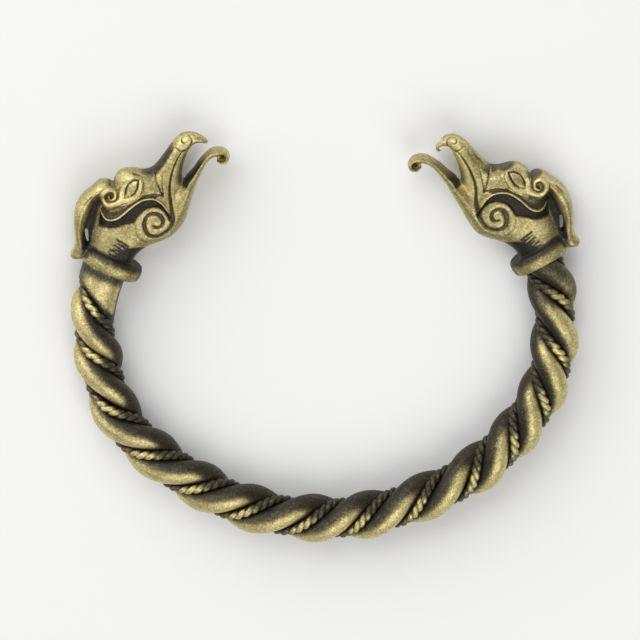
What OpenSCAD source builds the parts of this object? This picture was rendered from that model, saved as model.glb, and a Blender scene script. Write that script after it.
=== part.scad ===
// Open arm ring of antique bronze: a twisted rope bent into an oval hoop,
// with a beast head cast on each end. It lies flat, with the ring's plane in XY
// and the opening between the heads towards +Y.

/* [Hoop] */
// Half width of the oval, to the middle of the rope
hoop_half_w = 35.8; // [30:0.1:45]
// Half depth of the oval, to the middle of the rope
hoop_half_d = 30.4; // [25:0.1:38]
// Angle round the oval at which the left head's collar sits
left_end = 159.5; // [150:0.5:170]
// Angle round the oval at which the right head's collar sits
right_end = 22.5; // [12:0.5:30]

/* [Rope] */
// Thickness of a thick strand
strand_d = 3.7; // [2.6:0.025:4.4]
// Clearance between the two thick strands
strand_gap = 0.25; // [0.15:0.01:0.4]
// Turns of the twist in a whole round of the oval
rope_turns = 12; // [9:0.5:14]
// Angle round the oval at which thick strand 1 lies on top
twist_start = -88.5; // [-100:0.5:-80]
// Thickness of a twisted wire, over both of its plies
wire_d = 1.3; // [0.8:0.05:1.4]
// Distance from the middle of the rope to the middle of a wire
wire_reach = 2.38; // [2.2:0.01:2.6]

/* [Heads] */
// Length of a head, from its collar to the top of its beak
head_len = 24; // [21:0.5:26]
// Thickness of a head over its cheeks
head_thick = 8.1; // [7:0.1:9]
// Thickness of the collar across the ring's plane
collar_thick = 8.6; // [8.1:0.1:9.2]
// Height of the raised relief above the cheek
relief = 0.42; // [0.2:0.02:0.7]
// Clearance between the rope and the socket in each collar
socket_gap = 0.1; // [0.05:0.01:0.2]
// Turn of the right head further in towards the opening
right_turn = 4; // [0:0.5:8]
// Shift of the right head outwards from the oval
right_out = 0.9; // [0:0.05:1]
// Angle by which the right head's jaw opens further than the left one's
right_jaw_drop = 6; // [0:0.5:8]
// Share by which the right head's beak is shorter beyond its nostril
right_beak_trim = 0.1; // [0:0.01:0.2]
// Share by which the right head's throat is shallower than the left one's
right_throat_in = 0.029; // [0:0.001:0.04]
// Share by which the right head's relief lies further out than the left one's
right_relief_out = 0.06; // [0:0.005:0.07]

/* [Hidden] */

strand_sides = 10;
wire_sides = 6;
rings_per_turn = 12;
rib_sides = 12;
unit = head_len / 100;          // the head's tables count in hundredths of its length
half_thick = head_thick / 2;    // and their thickness column in shares of this
fullness = 0.75;                // below 1 the section of a head is fuller than an oval
rope_r = strand_gap / 2 + strand_d;
strand_reach = (strand_gap + strand_d) / 2;
socket_r = rope_r + socket_gap;

bronze = [0.66, 0.61, 0.39];
worn_bronze = [0.72, 0.67, 0.44];
dark_bronze = [0.42, 0.39, 0.28];

// The hand-bent rope departs a little from an even twist on a true oval
// Columns: angle round the oval, turn ahead of the even twist, distance out from the oval
bend_rows = [
    [150,  0,  0.00], [180, -3,  0.00], [194, -8, -0.10], [207, 12,  0.40],
    [222, 24,  0.08], [234, 32, -0.08], [252, 21,  0.40], [268, 25,  0.48],
    [281,  8,  0.45], [296, 12,  0.10], [311, 26,  0.15], [327, 19,  0.20],
    [345, 14,  0.42], [358, 17,  0.20], [370, 30,  0.38], [390, 32,  0.45]
];

// Neck, skull and upper beak, from the collar to the tip of the beak. Each row is a
// rib across the head.
// Columns: back edge along and out, throat edge along and out, thickness
spine_rows = [
    [  -1,  13.0,   -1, -14.5, 0.78],
    [ 7.5,  13.2,    8, -14.0, 0.78],
    [  15,  15.6,   14, -15.2, 0.82],
    [  22,  17.5,   21, -19.4, 0.92],
    [  29,  20.0,   27, -25.6, 0.98],
    [  37,  21.5,   33, -30.6, 1.00],
    [  44,  21.5, 39.5, -33.0, 1.00],
    [49.5,  18.6,   46, -33.0, 0.99],
    [54.5,  18.9, 52.5, -31.0, 0.97],
    [59.5,  16.5, 57.5, -28.5, 0.93],
    [62.3,  11.5, 61.5, -25.5, 0.87],
    [64.0,   5.0, 64.5, -23.8, 0.80],
    [67.5,   0.2, 67.3, -22.2, 0.75],
    [72.6,  -2.4, 72.0, -19.4, 0.70],
    [80.0,  -4.2, 77.8, -17.8, 0.64],
    [87.0,  -5.6, 84.0, -17.1, 0.57],
    [92.5,  -7.0, 89.0, -17.5, 0.52],
    [97.4, -10.0, 93.2, -18.8, 0.46],
    [100.1,-14.5, 95.4, -20.6, 0.40],
    [100.9,-19.6, 96.4, -22.8, 0.34],
    [100.2,-24.2, 97.0, -25.0, 0.24]
];
// Tip of the beak: plain on the left head, rolled into a small hook on the right one
plain_tip = [[98.9, -27.2, 97.7, -26.7, 0.12]];
hooked_tip = [
    [98.9, -27.0, 97.0, -25.9, 0.20],
    [96.8, -28.4, 96.4, -26.6, 0.17],
    [94.7, -27.8, 95.3, -26.4, 0.14],
    [94.1, -26.0, 95.0, -25.9, 0.09]
];

// Cheek and lower jaw, out to the roll at the jaw's end
// Columns: mouth edge along and out, throat edge along and out, thickness
jaw_rows = [
    [  38, -12.0,   35, -27.0, 0.82],
    [  50, -16.0, 44.8, -33.2, 0.84],
    [  60, -19.5,   54, -33.2, 0.85],
    [67.3, -22.8,   63, -32.0, 0.84],
    [72.0, -23.3,   70, -31.3, 0.80],
    [77.5, -25.1, 76.5, -31.2, 0.75],
    [84.0, -26.5,   83, -31.4, 0.68],
    [90.0, -28.2,   88, -32.3, 0.62],
    [94.3, -30.2, 91.4, -34.2, 0.58],
    [97.2, -33.6, 92.6, -36.0, 0.56],
    [98.5, -37.4, 94.2, -37.2, 0.55],
    [98.0, -41.2, 94.9, -38.8, 0.54],
    [95.2, -44.1, 94.2, -40.4, 0.53],
    [91.6, -43.6, 92.6, -40.6, 0.52],
    [89.4, -40.6, 91.7, -39.4, 0.50],
    [89.8, -37.0, 91.8, -38.0, 0.48]
];

// Mane, from its point beside the collar up to behind the ear
// Columns: outer edge along and out, inner edge along and out, thickness
mane_rows = [
    [-7.0,  22.9, -6.6,  20.2, 0.20],
    [-5.2,  25.0, -4.8,  17.2, 0.40],
    [-1.5,  24.6, -1.5,  15.0, 0.50],
    [ 4.0,  25.4,  4.5,  18.0, 0.56],
    [10.0,  28.4, 11.0,  24.0, 0.58],
    [17.5,  32.2, 18.0,  25.8, 0.62],
    [26.0,  34.4, 24.5,  26.2, 0.66],
    [34.0,  33.4, 30.0,  26.2, 0.70],
    [41.4,  29.6, 35.0,  25.8, 0.74],
    [46.8,  27.0, 38.5,  23.0, 0.76],
    [49.4,  21.0, 41.0,  17.5, 0.74],
    [46.0,  16.0, 44.0,  11.0, 0.60]
];

// Thin web that joins the mane to the neck, along and out
web_outline = [[2, 10], [2, 20], [5, 21], [12, 25], [18, 27], [28, 27.5], [38, 26],
               [43, 19], [40, 10]];
web_thick = 0.34;
slit_from = [6.8, 18.0];
slit_to = [13.2, 22.2];
slit_half_w = 1.5;

// Raised ridges on both faces of a head, as a path along and out
// Columns: along, out, half width, height in shares of the relief
volute_rows = [
    [24.5, -14.0, 2.0, 0.30], [27.0,  -9.4, 3.2, 0.80], [31.8,  -7.0, 3.0, 1.00],
    [37.8,  -6.2, 2.3, 1.00], [43.4,  -8.2, 2.2, 1.00], [46.4, -12.6, 2.3, 1.00],
    [46.5, -17.6, 2.4, 1.00], [43.6, -22.0, 2.4, 1.00], [38.9, -23.4, 2.3, 1.00],
    [34.8, -21.0, 2.2, 1.00], [33.4, -17.0, 2.1, 1.00], [35.0, -13.4, 2.0, 1.00],
    [38.6, -12.2, 1.9, 1.05], [41.4, -14.4, 1.8, 1.05], [40.6, -17.2, 1.6, 1.00]
];
brow_line_rows = [
    [31.5,  19.4, 0.8, 0.90], [28.2,  14.6, 0.9, 1.00], [28.8,  10.6, 1.0, 1.00],
    [32.4,   6.8, 0.9, 1.00], [39.0,   3.6, 0.8, 1.00], [45.4,   0.1, 0.8, 1.00],
    [50.8,  -4.0, 0.8, 1.00], [53.2, -10.0, 0.9, 1.00], [51.6, -17.0, 0.9, 0.90],
    [48.2, -22.2, 0.7, 0.50]
];
eye_rows = [
    [61.0,   3.6, 1.2, 0.60], [57.5,   4.8, 4.0, 1.10], [52.5,   5.8, 5.4, 1.20],
    [47.5,   7.2, 4.4, 1.20], [43.2,  10.0, 3.2, 1.10], [39.2,  13.0, 2.4, 1.05],
    [36.8,  16.8, 2.1, 1.00], [38.6,  20.6, 2.0, 1.00], [42.8,  21.6, 1.9, 1.00],
    [46.2,  19.4, 1.7, 1.00], [46.4,  15.8, 1.5, 1.00], [43.4,  14.0, 1.4, 1.00],
    [40.8,  15.8, 1.2, 0.90]
];
leaf_rows = [
    [32.6,  14.5, 1.4, 0.60], [35.0,  11.2, 2.0, 0.80], [39.5,   7.4, 1.7, 0.80],
    [45.0,   3.6, 1.2, 0.70], [50.5,   0.0, 0.7, 0.50]
];
nostril_rows = [
    [89.8,  -8.6, 0.7, 0.30], [90.0, -12.2, 1.1, 0.60], [91.8, -14.9, 1.2, 0.70],
    [94.8, -16.0, 1.2, 0.70], [96.8, -14.6, 1.0, 0.70], [96.2, -12.4, 0.9, 0.60],
    [94.2, -11.9, 0.8, 0.50]
];
// The rolled jaw's disc, along and out, and the disc's radius and thickness
curl_at = [94.0, -39.6];
curl_r = 3.6;
curl_thick = 0.32;
// Collar: its middle out from the rope, half length along it and reach in the ring's plane
collar_out = -2.1;
collar_half_len = 5.4;
collar_reach = 20.4;
socket_floor = 0.2;
socket_depth = 10;
ridge_foot = 3;                 // depth of a ridge's foot under the skin, in relief heights

function mix(a, b, f) = a + (b - a) * f;
function unit_of(p) = p / norm(p);

// Middle of the rope at an angle round the oval, and the outward direction there
function hoop_point(t) = [hoop_half_w * cos(t), hoop_half_d * sin(t), 0];
function hoop_out(t) = unit_of([hoop_half_d * cos(t), hoop_half_w * sin(t), 0]);

// Smooth value between the rows of a table, at t of its first column
function between(rows, t) = let (
        last = len(rows) - 1,
        i = max([0, for (k = [0 : last - 1]) if (t >= rows[k][0]) k]),
        a = rows[max(0, i - 1)],
        b = rows[i],
        c = rows[i + 1],
        d = rows[min(last, i + 2)],
        f = (t - b[0]) / (c[0] - b[0]))
    (2 * b + (c - a) * f + (2 * a - 5 * b + 4 * c - d) * f * f
        + (3 * b - a - 3 * c + d) * f * f * f) / 2;

// Angle of the twist at t, turning from straight up to outwards, and the rope's middle
function twist(t) = -rope_turns * (t - twist_start) + between(bend_rows, t)[1];
function rope_point(t) = hoop_point(t) + between(bend_rows, t)[2] * hoop_out(t);

// How far a round strand's section widens where it is cut square to the rope
function slant(reach) = let (
        pitch = 2 * PI * (hoop_half_w + hoop_half_d) / 2 / rope_turns,
        rise = 2 * PI * reach / pitch)
    sqrt(1 + rise * rise);

// Section of a strand square to the rope at angle t
function strand_ring(t, turn, reach, r, sides) = let (
        angle = twist(t) + turn,
        out = hoop_out(t),
        up = [0, 0, 1],
        away = cos(angle) * up + sin(angle) * out,
        across = -sin(angle) * up + cos(angle) * out,
        wide = r * slant(reach))
    [for (k = [0 : sides - 1]) let (a = 360 * (k + 0.5) / sides)
        rope_point(t) + (reach + r * cos(a)) * away + wide * sin(a) * across];

// Solid stretched over a row of rings, closed at both ends. Each ring turns
// anticlockwise as seen from the end that the rings run to.
module skin(rings) {
    n = len(rings[0]);
    last = (len(rings) - 1) * n;
    sides = [for (i = [0 : len(rings) - 2], k = [0 : n - 1]) let (
            a = i * n + k,
            b = i * n + (k + 1) % n,
            c = (i + 1) * n + (k + 1) % n,
            d = (i + 1) * n + k)
        each [[c, b, a], [d, c, a]]];
    caps = [[for (k = [0 : n - 1]) k], [for (k = [0 : n - 1]) last + n - 1 - k]];
    polyhedron(points = [for (ring = rings) each ring], faces = concat(sides, caps));
}

// One strand of the rope, from inside one collar to inside the other
module strand(turn, reach, d, sides) {
    span = 360 + right_end - left_end;
    steps = ceil(span * rope_turns / 360 * rings_per_turn);
    translate(place) skin([for (i = [0 : steps])
        strand_ring(left_end + span * i / steps, turn, reach, d / 2, sides)]);
}

// Section of a head across one rib of its tables
function rib(row) = let (
        mid = [row[0] + row[2], row[1] + row[3]] / 2,
        arm = [row[0] - row[2], row[1] - row[3]] / 2)
    [for (k = [0 : rib_sides - 1]) let (
            a = 360 * k / rib_sides,
            rise = sign(sin(a)) * pow(abs(sin(a)), fullness))
        [unit * (mid.x + arm.x * cos(a)), unit * (mid.y + arm.y * cos(a)),
         half_thick * row[4] * rise]];

// How far a point lies ahead of a rib
function ahead(p, row) = let (d = unit_of([row[2] - row[0], row[3] - row[1]]))
    d.x * (p.y - row[1]) - d.y * (p.x - row[0]);

// Height of the skull's skin over a point of the head
function skin_height(p) = let (
        hits = [for (i = [0 : len(spine_rows) - 2])
            if (ahead(p, spine_rows[i]) >= 0 && ahead(p, spine_rows[i + 1]) < 0) i],
        i = len(hits) > 0 ? hits[0] : 0,
        near = ahead(p, spine_rows[i]),
        far = -ahead(p, spine_rows[i + 1]),
        row = mix(spine_rows[i], spine_rows[i + 1], near / (near + far)),
        mid = [row[0] + row[2], row[1] + row[3]] / 2,
        arm = [row[0] - row[2], row[1] - row[3]] / 2,
        across = (p - mid) * arm / (arm * arm))
    half_thick * row[4] * pow(max(0.15, 1 - across * across), fullness / 2);

// Place and angle of each head on the hoop
left_out = hoop_out(left_end);
left_at = hoop_point(left_end);
left_angle = atan2(-left_out.x, left_out.y);
right_outward = hoop_out(right_end);
right_at = hoop_point(right_end) + right_out * right_outward;
right_angle = atan2(right_outward.x, -right_outward.y) + right_turn;
rope_at_left = between(bend_rows, left_end)[2];
rope_at_right = between(bend_rows, 360 + right_end)[2] - right_out;
bottom_out = max([for (t = [260 : 5 : 280]) between(bend_rows, t)[2]]);

// The right head's jaw turns down about the corner of its mouth, by more towards its end
mouth_corner = [67, -27];
function dropped(p) = let (
        share = max(0, min(1, (p.x - mouth_corner.x) / 25)),
        a = -right_jaw_drop * share,
        d = p - mouth_corner)
    mouth_corner + [d.x * cos(a) - d.y * sin(a), d.x * sin(a) + d.y * cos(a)];
function dropped_row(row) = let (
        mouth = dropped([row[0], row[1]]),
        throat = raised(dropped([row[2], row[3]])))
    [mouth.x, mouth.y, throat.x, throat.y, row[4]];
// Its beak is shorter, its hook nearer and its throat shallower, and its relief lies
// further out on the face
hook_shift = [-1.6, 2.7];
function trimmed(p) = let (f = max(0, min(1, (-p.y - 14) / 10)) * max(0, min(1, (p.x - 80) / 10)))
    [p.x - right_beak_trim * max(0, p.x - 86), p.y] + f * hook_shift;
function raised(p) = p + [0, 100 * right_throat_in * exp(-pow((p.x - 48) / 14, 2))];
function trimmed_row(row) = let (
        back = trimmed([row[0], row[1]]),
        throat = raised(trimmed([row[2], row[3]])))
    [back.x, back.y, throat.x, throat.y, row[4]];
function shifted_row(row) = let (
        f = 100 * right_relief_out
            * exp(-pow((row[0] - 50) / 22, 2) - pow((row[1] - 10) / 32, 2)))
    [row[0] - f / 4, row[1] + f, row[2], row[3]];
face_rows = [volute_rows, brow_line_rows, eye_rows, leaf_rows, nostril_rows];
right_face_rows = [for (rows = face_rows) [for (row = rows) shifted_row(row)]];

// Highest relief of a ridge, and the furthest that a head reaches to the front
function ridge_top(rows) =
    max([for (row = rows) skin_height([row[0], row[1]]) + relief * row[3]]);
function head_front(at, angle, side) =
    max([for (row = spine_rows)
        at.y + unit * (row[0] * sin(angle) + side * row[1] * cos(angle))]);

// The ring is moved so that it rests on z = 0, with x = y = 0 in the middle of its box
rest_height = max(collar_thick / 2,
                  max([for (rows = concat(face_rows, right_face_rows)) ridge_top(rows)]));
front = max(head_front(left_at, left_angle, 1), head_front(right_at, right_angle, -1));
place = [0, (hoop_half_d + bottom_out + rope_r - front) / 2, rest_height];

// Direction along a path of rows at row i
function path_dir(rows, i) = let (
        a = rows[max(0, i - 1)],
        b = rows[min(len(rows) - 1, i + 1)])
    unit_of([b[0] - a[0], b[1] - a[1]]);

// A raised ridge over the head's skin, its foot sunk below the skin
module ridge(rows) {
    section = [[-1, -ridge_foot], [-0.8, 0.5], [0, 1], [0.8, 0.5], [1, -ridge_foot]];
    skin([for (i = [0 : len(rows) - 1]) let (
            row = rows[i],
            along = path_dir(rows, i),
            across = [along.y, -along.x],
            z = skin_height([row[0], row[1]]))
        [for (s = section)
            [unit * (row[0] + across.x * row[2] * s.x),
             unit * (row[1] + across.y * row[2] * s.x),
             z + relief * row[3] * s.y]]]);
}

module relief_of_one_face(tables) {
    for (rows = tables) ridge(rows);
}

// Lower jaw, rolled up at its end round a thin disc
module jaw(rows, roll_at) {
    skin([for (row = rows) rib(row)]);
    translate(unit * [roll_at.x, roll_at.y, 0])
        cylinder(h = head_thick * curl_thick, r = unit * curl_r, center = true, $fn = 12);
}

module web() {
    linear_extrude(height = head_thick * web_thick, center = true)
        difference() {
            polygon(unit * web_outline);
            hull() {
                translate(unit * slit_from) circle(r = unit * slit_half_w, $fn = 8);
                translate(unit * slit_to) circle(r = unit * slit_half_w, $fn = 8);
            }
        }
}

// Rounded band round the end of the rope
module collar() {
    reach = unit * collar_reach;
    depth = unit * 9;
    band = unit * collar_half_len;
    translate([0, unit * collar_out, 0])
        scale([1, 1, collar_thick / 2 / reach])
            rotate([0, 90, 0])
                rotate_extrude($fn = 30)
                    polygon([[0, -band * 0.9], [reach - depth, -band * 0.95],
                             [reach - band * 0.45, -band], [reach - band * 0.1, -band * 0.6],
                             [reach, 0],
                             [reach - band * 0.1, band * 0.6], [reach - band * 0.45, band],
                             [reach - depth, band * 0.95], [0, band * 0.9]]);
}

// One head in its own frame: +X forwards along the rope, +Y outwards from the ring.
// The rope enters it along the X axis, moved sideways by rope_out and turned by rope_turn.
module head(skull_rows, lower_rows, roll_at, tables, rope_out, rope_turn) {
    difference() {
        union() {
            skin([for (row = skull_rows) rib(row)]);
            jaw(lower_rows, roll_at);
            skin([for (row = mane_rows) rib(row)]);
            web();
            collar();
            relief_of_one_face(tables);
            mirror([0, 0, 1]) relief_of_one_face(tables);
        }
        translate([0, rope_out, 0])
            rotate([0, 0, rope_turn])
                translate([socket_floor, 0, 0])
                    rotate([0, -90, 0]) cylinder(h = socket_depth, r = socket_r, $fn = 36);
    }
}

module head_left() {
    color(bronze)
        translate(place + left_at)
            rotate([0, 0, left_angle])
                head(concat(spine_rows, plain_tip), jaw_rows, curl_at, face_rows,
                     rope_at_left, 0);
}

module head_right() {
    color(bronze)
        translate(place + right_at)
            rotate([0, 0, right_angle])
                mirror([0, 1, 0])
                    head([for (row = concat(spine_rows, hooked_tip)) trimmed_row(row)],
                         [for (row = jaw_rows) dropped_row(row)], dropped(curl_at),
                         right_face_rows, rope_at_right, right_turn);
}

module thick_strand_1() {
    color(worn_bronze) strand(0, strand_reach, strand_d, strand_sides);
}

module thick_strand_2() {
    color(worn_bronze) strand(180, strand_reach, strand_d, strand_sides);
}

module twisted_wire_1() {
    color(dark_bronze) strand(90, wire_reach, wire_d, wire_sides);
}

module twisted_wire_2() {
    color(dark_bronze) strand(270, wire_reach, wire_d, wire_sides);
}

head_left();
head_right();
thick_strand_1();
thick_strand_2();
twisted_wire_1();
twisted_wire_2();
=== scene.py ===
import math
import bpy
import numpy as np
import openvdb
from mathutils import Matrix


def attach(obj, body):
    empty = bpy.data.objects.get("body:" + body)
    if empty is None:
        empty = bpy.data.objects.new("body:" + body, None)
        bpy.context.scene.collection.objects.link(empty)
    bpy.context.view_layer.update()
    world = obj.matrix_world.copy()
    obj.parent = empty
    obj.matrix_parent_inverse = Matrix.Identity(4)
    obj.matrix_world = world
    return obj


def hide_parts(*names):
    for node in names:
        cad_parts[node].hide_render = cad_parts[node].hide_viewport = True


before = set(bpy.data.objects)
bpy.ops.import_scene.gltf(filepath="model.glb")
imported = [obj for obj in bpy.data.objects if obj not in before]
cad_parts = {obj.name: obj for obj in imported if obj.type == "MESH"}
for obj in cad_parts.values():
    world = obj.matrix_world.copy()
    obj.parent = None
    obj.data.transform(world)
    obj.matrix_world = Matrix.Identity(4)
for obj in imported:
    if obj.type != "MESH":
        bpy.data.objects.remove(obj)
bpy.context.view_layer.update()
print("frame loaded:", sorted(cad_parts))

mm = 0.001

# The hoop and where its middle lies in the frame, in millimetres and degrees. The right
# head stands a little outside the oval, and is turned a little further in
hoop = dict(halfWidth=35.8, halfDepth=30.4, opening=90, leftEnd=159.5, rightEnd=22.5,
            rightOut=0.9, rightTurn=4.0, middle=(0.0, 1.743, 4.467), turns=12,
            twistStart=-88.5)

# Camera: the photograph looks down on the ring, from a little to the opening's side
view = dict(tilt=14.0, distance=900.0, frameWidth=99.84, aim=(-0.69, 2.983, 4.467))


def addNode(tree, kind, inputs, **settings):
    # A node whose inputs are numbers, names or the outputs of other nodes
    node = tree.nodes.new(kind)
    for key, value in settings.items():
        setattr(node, key, value)
    for key, value in inputs.items():
        if isinstance(value, (int, float, str)):
            node.inputs[key].default_value = value
        else:
            tree.links.new(value, node.inputs[key])
    return node


def addMaths(tree, operation, a, b=0.0):
    return addNode(tree, "ShaderNodeMath", {0: a, 1: b}, operation=operation).outputs[0]


def addObject(name, data):
    obj = bpy.data.objects.new(name, data)
    bpy.context.scene.collection.objects.link(obj)
    return obj


def makeCamera():
    cam = bpy.data.cameras.new("photoCamera")
    cam.sensor_width = 36.0
    cam.lens = cam.sensor_width * view["distance"] / view["frameWidth"]
    cam.clip_start = 0.05
    cam.clip_end = 10.0
    obj = addObject("photoCamera", cam)
    tilt = math.radians(view["tilt"])
    aim = view["aim"]
    obj.location = (aim[0] * mm, (aim[1] + view["distance"] * math.sin(tilt)) * mm,
                    (aim[2] + view["distance"] * math.cos(tilt)) * mm)
    obj.rotation_euler = (-tilt, 0, 0)
    bpy.context.scene.camera = obj


makeCamera()

# Studio: a pale floor, a dim sky and wide soft boxes
studio = dict(floorSize=3.0, floorColour=(0.87, 0.87, 0.865), floorRough=0.9, floorShine=0.2,
              skySide=0.20, skyTop=0.52, skyTopFrom=0.85,
              lights=[  # name, place, size, watts
                  ("keyLight", (-0.30, 0.78, 0.66), 1.0, 6.6),
                  ("fillLight", (0.25, -0.62, 0.85), 0.95, 4.4),
                  ("leftLight", (-0.90, 0.25, 0.50), 0.7, 2.4)])


def makeStudio():
    half = studio["floorSize"] / 2
    mesh = bpy.data.meshes.new("paleFloor")
    mesh.from_pydata([(-half, -half, 0), (half, -half, 0), (half, half, 0), (-half, half, 0)],
                     [], [(0, 1, 2, 3)])
    mat = bpy.data.materials.new("paleFloor")
    mat.use_nodes = True
    shader = mat.node_tree.nodes["Principled BSDF"]
    shader.inputs["Base Color"].default_value = (*studio["floorColour"], 1)
    shader.inputs["Roughness"].default_value = studio["floorRough"]
    shader.inputs["Specular IOR Level"].default_value = studio["floorShine"]
    mesh.materials.append(mat)
    addObject("paleFloor", mesh)

    world = bpy.data.worlds.new("studioSky")
    bpy.context.scene.world = world
    world.use_nodes = True
    tree = world.node_tree
    coord = addNode(tree, "ShaderNodeTexCoord", {})
    split = addNode(tree, "ShaderNodeSeparateXYZ", {0: coord.outputs["Generated"]})
    ramp = addNode(tree, "ShaderNodeMapRange",
                   {"Value": split.outputs["Z"], "From Max": studio["skyTopFrom"],
                    "To Min": studio["skySide"], "To Max": studio["skyTop"]})
    sky = tree.nodes["Background"]
    tree.links.new(ramp.outputs["Result"], sky.inputs["Strength"])
    sky.inputs["Color"].default_value = (1, 1, 1, 1)

    bpy.context.scene.view_settings.view_transform = "Standard"
    for name, place, size, watts in studio["lights"]:
        lamp = bpy.data.lights.new(name, "AREA")
        lamp.size = size
        lamp.energy = watts
        obj = addObject(name, lamp)
        obj.location = place
        away = np.array(place) / np.linalg.norm(place)
        pitch = math.acos(away[2])
        obj.rotation_euler = (0, pitch, math.atan2(away[1], away[0]))


makeStudio()
print("camera, floor and lights made")

# Antique bronze: worn olive gold over a dark brown patina, read from an attribute that
# also carries painted shade and painted highlights.
# Here and below, a pair of limits is where an effect begins and where it is full
bronze = dict(stops=[(0.0, (0.80, 0.700, 0.350)), (0.3, (0.43, 0.362, 0.160)),
                     (0.6, (0.165, 0.138, 0.075)), (0.85, (0.052, 0.043, 0.026)),
                     (1.0, (0.016, 0.014, 0.010))],
              wornRough=0.52, darkRough=0.47, roughMix=0.25, darkMetal=0.6, metalFades=(0.4, 1.0),
              grainSize=0.24, pitSize=0.50, blotchSize=1.4, noiseRough=0.6,
              grainMix=0.85, pitMix=0.48, blotchMix=0.36,
              specks=0.34, speckGrain=(0.60, 0.70), speckBlotch=(0.46, 0.60),
              darkCalm=0.5, calms=(0.6, 0.95), dentBump=0.5, grainBump=0.8, pitBump=1.5)


def antiqueBronze(name, tone=1.0, grainDepth=0.018, dentDepth=0.06):
    mat = bpy.data.materials.new(name)
    mat.use_nodes = True
    tree = mat.node_tree
    coord = addNode(tree, "ShaderNodeTexCoord", {})
    patinaAndPaintedLight = addNode(tree, "ShaderNodeAttribute", {}, attribute_name="patinaAndPaintedLight").outputs["Fac"]
    shader = tree.nodes["Principled BSDF"]

    def maths(operation, a, b):
        return addMaths(tree, operation, a, b)

    def noise(sizeMm, detail):
        place = coord.outputs["Object"]
        return addNode(tree, "ShaderNodeTexNoise",
                       {"Vector": place, "Scale": 1000.0 / sizeMm, "Detail": detail,
                        "Roughness": bronze["noiseRough"]}).outputs["Fac"]

    def swing(value, amount):
        # A noise's swing about its middle
        return maths("MULTIPLY", maths("SUBTRACT", value, 0.5), amount)

    def spread(value, low, high, toLow=0.0, toHigh=1.0, kind="SMOOTHSTEP"):
        return addNode(tree, "ShaderNodeMapRange",
                       {"Value": value, "From Min": low, "From Max": high, "To Min": toLow,
                        "To Max": toHigh}, interpolation_type=kind).outputs["Result"]

    def bump(height, strength, depth):
        return addNode(tree, "ShaderNodeBump", {"Height": height, "Strength": strength,
                                                "Distance": depth * mm})

    grain = noise(bronze["grainSize"], 1.0)
    pits = noise(bronze["pitSize"], 2.0)
    blotch = noise(bronze["blotchSize"], 3.0)
    ragged = maths("ADD", swing(grain, bronze["grainMix"]), swing(pits, bronze["pitMix"]))
    ragged = maths("ADD", ragged, swing(blotch, bronze["blotchMix"]))
    specks = maths("MULTIPLY", spread(grain, *bronze["speckGrain"]),
                   spread(blotch, *bronze["speckBlotch"]))
    ragged = maths("SUBTRACT", ragged, maths("MULTIPLY", specks, bronze["specks"]))
    calm = spread(patinaAndPaintedLight, *bronze["calms"], 1.0, bronze["darkCalm"])
    level = spread(maths("ADD", patinaAndPaintedLight, maths("MULTIPLY", ragged, calm)), 0.0, 1.0,
                   kind="LINEAR")

    ramp = addNode(tree, "ShaderNodeValToRGB", {"Fac": level})
    elements = ramp.color_ramp.elements
    while len(elements) < len(bronze["stops"]):
        elements.new(0.5)
    for element, (position, colour) in zip(elements, bronze["stops"]):
        element.position = position
        element.color = (*[c * tone for c in colour], 1)
    metal = spread(level, *bronze["metalFades"], 1.0, bronze["darkMetal"])
    rough = maths("ADD", spread(level, 0.0, 1.0, bronze["wornRough"], bronze["darkRough"]),
                  swing(pits, bronze["roughMix"]))
    dents = bump(blotch, bronze["dentBump"], dentDepth)
    fine = bump(maths("ADD", grain, maths("MULTIPLY", pits, bronze["pitBump"])),
                bronze["grainBump"], grainDepth)
    tree.links.new(dents.outputs["Normal"], fine.inputs["Normal"])
    for key, value in (("Base Color", ramp.outputs["Color"]), ("Metallic", metal),
                       ("Roughness", rough), ("Normal", fine.outputs["Normal"])):
        tree.links.new(value, shader.inputs[key])
    return mat


headBronze = antiqueBronze("headBronze")
strandBronze = antiqueBronze("strandBronze")
wireBronze = antiqueBronze("wireBronze", tone=1.05, grainDepth=0.008, dentDepth=0.02)


def smoothstep(low, high, value):
    f = np.clip((value - low) / (high - low), 0, 1)
    return f * f * (3 - 2 * f)


def spotAt(u, v, at, reach):
    # Soft spot: 1 at its middle and 0.37 at its reach, which is one number or one each way
    reachU, reachV = np.broadcast_to(reach, 2)
    return np.exp(-((u - at[0]) / reachU) ** 2 - ((v - at[1]) / reachV) ** 2)


def curveThrough(a, b, c, d, f):
    # Smooth curve from b to c, with a before them and d after them
    return (2 * b + (c - a) * f + (2 * a - 5 * b + 4 * c - d) * f * f
            + (3 * b - a - 3 * c + d) * f ** 3) / 2


def setAttribute(mesh, name, values):
    layer = mesh.attributes.new(name, "FLOAT", "POINT")
    layer.data.foreach_set("value", np.asarray(values, dtype=np.float32))


# Rope: each strand follows the oval and turns round it, and a wire has two twisted plies
# Bend: angle round the oval, turn ahead of the even twist, distance out from the oval
rope = dict(bend=[(150, 0, .1), (168, 0, .2), (180, -3, .05), (194, -8, -.1), (207, 12, .4),
                  (222, 24, .08), (234, 32, -.08), (252, 21, .4), (268, 25, .48), (281, 8, .45),
                  (296, 12, .1), (311, 26, .15), (327, 19, .2), (345, 14, .42), (358, 17, .2),
                  (370, 30, .38), (390, 32, .45)],
            strandThick=3.79, strandReach=1.93, strandSides=40, strandPoints=560,
            wireReach=2.38, plyThick=1.08, plyReach=0.28, plySides=10, plyPoints=1300,
            wireTwists=-58, pinch=0.68, sleeveLeaves=12.0, sleeveSlope=4.8, sleeveFade=6)


def ovalAt(t):
    # Points of the oval, and the way out from each
    a, b = hoop["halfWidth"], hoop["halfDepth"]
    out = np.stack([b * np.cos(t), a * np.sin(t)], -1)
    point = np.stack([a * np.cos(t), b * np.sin(t)], -1)
    return point, out / np.linalg.norm(out, axis=-1, keepdims=True)


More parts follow.
